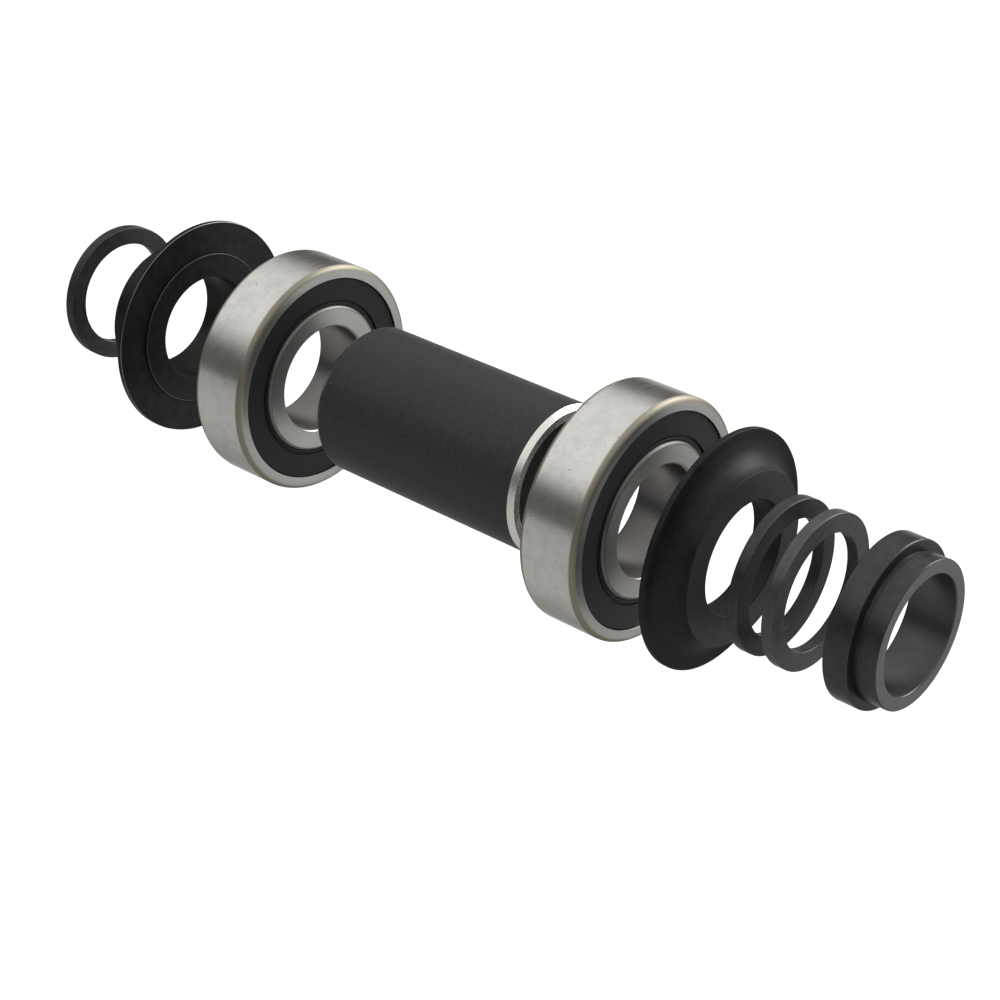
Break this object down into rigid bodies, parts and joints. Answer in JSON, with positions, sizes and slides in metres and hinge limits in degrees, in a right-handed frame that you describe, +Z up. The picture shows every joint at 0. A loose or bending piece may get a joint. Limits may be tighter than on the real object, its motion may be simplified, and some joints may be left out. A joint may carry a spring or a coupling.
{
  "type": "bottom bracket",
  "caption": "Press-in bicycle bottom bracket kit laid out along its spindle line: sealed bearings, tube spacer, dust cones, spacer rings and a sprocket adapter.",
  "frame": {"origin": "middle of the tube spacer, on the spindle line", "axes": "+Y along the spindle line away from the sprocket side, +X towards the bicycle's front, +Z up"},
  "size_m": [0.041, 0.1768, 0.041],
  "materials": {
    "black_tube": "matte black coat with bare turned ends",
    "ground_steel": "ground bearing steel",
    "ball_steel": "polished",
    "pressed_steel": "pressed sheet",
    "seal_rubber": "matte",
    "black_anodised": "satin black anodised",
    "black_spacer": "matte black anodised"
  },
  "bodies": {
    "tube_spacer": {"tube_spacer": "black_tube"},
    "drive_bearing_inner_race": {"drive_bearing_inner_ring": "ground_steel"},
    "drive_bearing_outer_race": {"drive_bearing_outer_ring": "ground_steel", "drive_bearing_inboard_seal": "seal_rubber", "drive_bearing_inboard_seal_core": "pressed_steel", "drive_bearing_outboard_seal": "seal_rubber", "drive_bearing_outboard_seal_core": "pressed_steel"},
    "drive_bearing_ball_cage": {"drive_bearing_balls": "ball_steel", "drive_bearing_cage_inboard_half": "pressed_steel", "drive_bearing_cage_outboard_half": "pressed_steel", "drive_bearing_cage_rivets": "pressed_steel"},
    "drive_cone": {"drive_cone": "black_anodised"},
    "drive_inner_spacer": {"drive_inner_spacer": "black_spacer"},
    "drive_outer_spacer": {"drive_outer_spacer": "black_spacer"},
    "sprocket_adapter": {"sprocket_adapter": "black_anodised"},
    "non_drive_bearing_inner_race": {"non_drive_bearing_inner_ring": "ground_steel"},
    "non_drive_bearing_outer_race": {"non_drive_bearing_outer_ring": "ground_steel", "non_drive_bearing_inboard_seal": "seal_rubber", "non_drive_bearing_inboard_seal_core": "pressed_steel", "non_drive_bearing_outboard_seal": "seal_rubber", "non_drive_bearing_outboard_seal_core": "pressed_steel"},
    "non_drive_bearing_ball_cage": {"non_drive_bearing_balls": "ball_steel", "non_drive_bearing_cage_inboard_half": "pressed_steel", "non_drive_bearing_cage_outboard_half": "pressed_steel", "non_drive_bearing_cage_rivets": "pressed_steel"},
    "non_drive_cone": {"non_drive_cone": "black_anodised"},
    "non_drive_spacer": {"non_drive_spacer": "black_spacer"}
  },
  "joints": [
    {"name": "drive_bearing_slide", "type": "slide", "parent": "tube_spacer", "child": "drive_bearing_inner_race", "axis": [0, 1, 0], "range_m": [0, 0.00778]},
    {"name": "drive_bearing_spin", "type": "hinge", "parent": "drive_bearing_inner_race", "child": "drive_bearing_outer_race", "pos_m": [0, -0.0353, 0], "axis": [0, 1, 0], "continuous": true},
    {"name": "drive_cage_spin", "type": "hinge", "parent": "drive_bearing_inner_race", "child": "drive_bearing_ball_cage", "pos_m": [0, -0.0353, 0], "axis": [0, 1, 0], "continuous": true},
    {"name": "drive_cone_slide", "type": "slide", "parent": "drive_bearing_inner_race", "child": "drive_cone", "axis": [0, 1, 0], "range_m": [0, 0.01158]},
    {"name": "drive_inner_spacer_slide", "type": "slide", "parent": "drive_cone", "child": "drive_inner_spacer", "axis": [0, 1, 0], "range_m": [0, 0.00593]},
    {"name": "drive_outer_spacer_slide", "type": "slide", "parent": "drive_inner_spacer", "child": "drive_outer_spacer", "axis": [0, 1, 0], "range_m": [0, 0.00423]},
    {"name": "sprocket_adapter_slide", "type": "slide", "parent": "drive_outer_spacer", "child": "sprocket_adapter", "axis": [0, 1, 0], "range_m": [0, 0.00918]},
    {"name": "non_drive_bearing_slide", "type": "slide", "parent": "tube_spacer", "child": "non_drive_bearing_inner_race", "axis": [0, -1, 0], "range_m": [0, 0.01058]},
    {"name": "non_drive_bearing_spin", "type": "hinge", "parent": "non_drive_bearing_inner_race", "child": "non_drive_bearing_outer_race", "pos_m": [0, 0.0381, 0], "axis": [0, 1, 0], "continuous": true},
    {"name": "non_drive_cage_spin", "type": "hinge", "parent": "non_drive_bearing_inner_race", "child": "non_drive_bearing_ball_cage", "pos_m": [0, 0.0381, 0], "axis": [0, 1, 0], "continuous": true},
    {"name": "non_drive_cone_slide", "type": "slide", "parent": "non_drive_bearing_inner_race", "child": "non_drive_cone", "axis": [0, -1, 0], "range_m": [0, 0.01968]},
    {"name": "non_drive_spacer_slide", "type": "slide", "parent": "non_drive_cone", "child": "non_drive_spacer", "axis": [0, -1, 0], "range_m": [0, 0.01173]}
  ],
  "couplings": [
    {"joint": "drive_cage_spin", "follows": "drive_bearing_spin", "ratio": 0.60583},
    {"joint": "non_drive_cage_spin", "follows": "non_drive_bearing_spin", "ratio": 0.60583}
  ]
}
